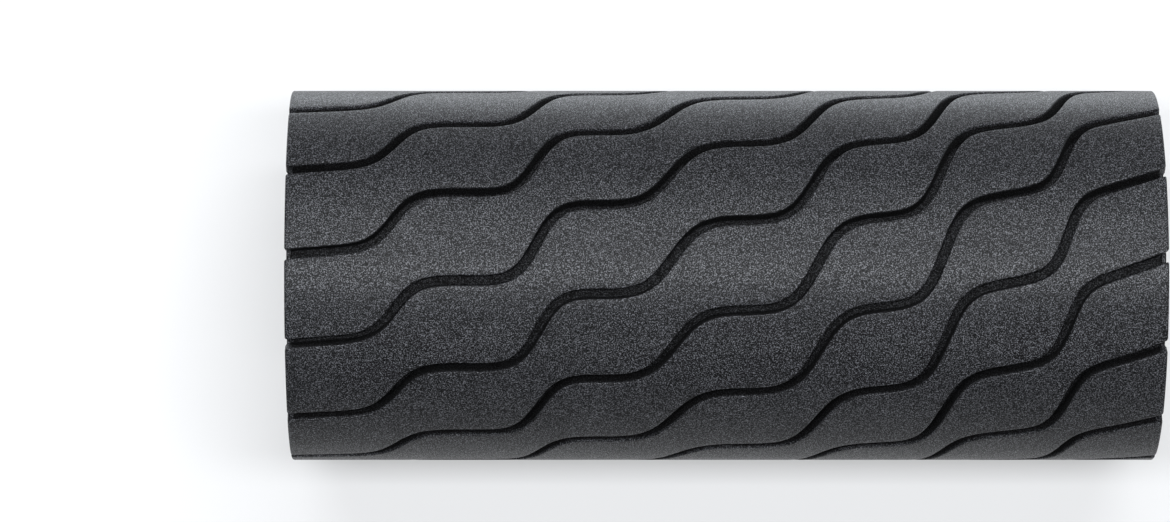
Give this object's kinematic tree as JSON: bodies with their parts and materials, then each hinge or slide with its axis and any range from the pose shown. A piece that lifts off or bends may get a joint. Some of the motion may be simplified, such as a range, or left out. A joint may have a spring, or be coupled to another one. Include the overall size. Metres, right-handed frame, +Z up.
{
  "type": "vibrating foam roller",
  "caption": "Straight cylindrical massage roller with a wavy-grooved foam sleeve on a rigid core that holds a vibration motor, battery and end control panel.",
  "frame": {"origin": "middle of the roller, on its axis", "axes": "+X along the roller's axis towards the end with the control panel, +Z up with the panel's lights above its buttons; the roller lies on its side"},
  "size_m": [0.305, 0.131, 0.1309],
  "materials": {
    "foam": "matte",
    "core_plastic": "satin",
    "cap_plastic": "matte",
    "cover_plastic": "matte",
    "seal_rubber": "matte",
    "panel_gloss": "gloss",
    "button_plastic": "satin",
    "plunger_plastic": "satin",
    "clear_plastic": "gloss",
    "chip_white": "gloss",
    "black_plastic": "satin",
    "contact_metal": "satin",
    "circuit_board": "satin",
    "screw_steel": "satin",
    "chassis_plastic": "matte",
    "motor_steel": "satin",
    "bell_alloy": "satin",
    "bush_bronze": "satin",
    "magnet": "matte",
    "contact_brass": "satin",
    "carbon": "matte",
    "shaft_steel": "polished",
    "lamination_steel": "satin",
    "copper": "satin",
    "weight_steel": "satin",
    "screw_black": "satin",
    "bearing_steel": "polished",
    "cell_wrap": "gloss",
    "strap_fabric": "matte",
    "pad_foam": "matte",
    "capacitor_sleeve": "gloss",
    "connector_plastic": "satin",
    "lead_jacket": "satin"
  },
  "bodies": {
    "root": {"foam_sleeve": "foam", "core_tube": "core_plastic", "control_cap": "cap_plastic", "plain_cap": "cap_plastic", "cover_disc": "cover_plastic", "seal_rings": "seal_rubber", "panel_overlay": "panel_gloss", "level_lights": "clear_plastic", "light_chips": "chip_white", "push_switches": "black_plastic", "charge_socket": "black_plastic", "socket_pin": "contact_metal", "control_board": "circuit_board", "board_screws": "screw_steel", "control_cap_screws": "screw_steel", "plain_cap_screws": "screw_steel", "chassis_lower": "chassis_plastic", "chassis_upper": "chassis_plastic", "chassis_screws": "screw_steel", "motor_can": "motor_steel", "motor_end_bells": "bell_alloy", "motor_bushes": "bush_bronze", "field_magnets": "magnet", "brush_holders": "contact_brass", "brushes": "carbon", "bearing_outer_rings": "bearing_steel", "bearing_balls": "bearing_steel", "battery_cells": "cell_wrap", "cell_holders": "black_plastic", "cell_links": "contact_metal", "battery_straps": "strap_fabric", "battery_pads": "pad_foam", "protection_board": "circuit_board", "driver_board": "circuit_board", "driver_board_screws": "screw_steel", "capacitors": "capacitor_sleeve", "transistors": "black_plastic", "board_connectors": "connector_plastic", "battery_lead": "lead_jacket", "motor_lead": "lead_jacket", "control_lead": "lead_jacket"},
    "power_key": {"power_button": "button_plastic", "power_plunger": "plunger_plastic"},
    "speed_up_key": {"speed_up_button": "button_plastic", "speed_up_plunger": "plunger_plastic"},
    "speed_down_key": {"speed_down_button": "button_plastic", "speed_down_plunger": "plunger_plastic"},
    "rotor": {"motor_shaft": "shaft_steel", "armature_core": "lamination_steel", "armature_windings": "copper", "commutator": "copper", "eccentric_weights": "weight_steel", "weight_screws": "screw_black", "bearing_inner_rings": "bearing_steel"}
  },
  "joints": [
    {"name": "power_press", "type": "slide", "parent": "root", "child": "power_key", "axis": [1, 0, 0], "range_m": [-0.0008, 0], "stiffness_N_per_m": 2000, "springref_m": 0.0005},
    {"name": "speed_up_press", "type": "slide", "parent": "root", "child": "speed_up_key", "axis": [1, 0, 0], "range_m": [-0.0008, 0], "stiffness_N_per_m": 2000, "springref_m": 0.0005},
    {"name": "speed_down_press", "type": "slide", "parent": "root", "child": "speed_down_key", "axis": [1, 0, 0], "range_m": [-0.0008, 0], "stiffness_N_per_m": 2000, "springref_m": 0.0005},
    {"name": "rotor_spin", "type": "hinge", "parent": "root", "child": "rotor", "pos_m": [0, 0, 0], "axis": [1, 0, 0], "continuous": true}
  ]
}
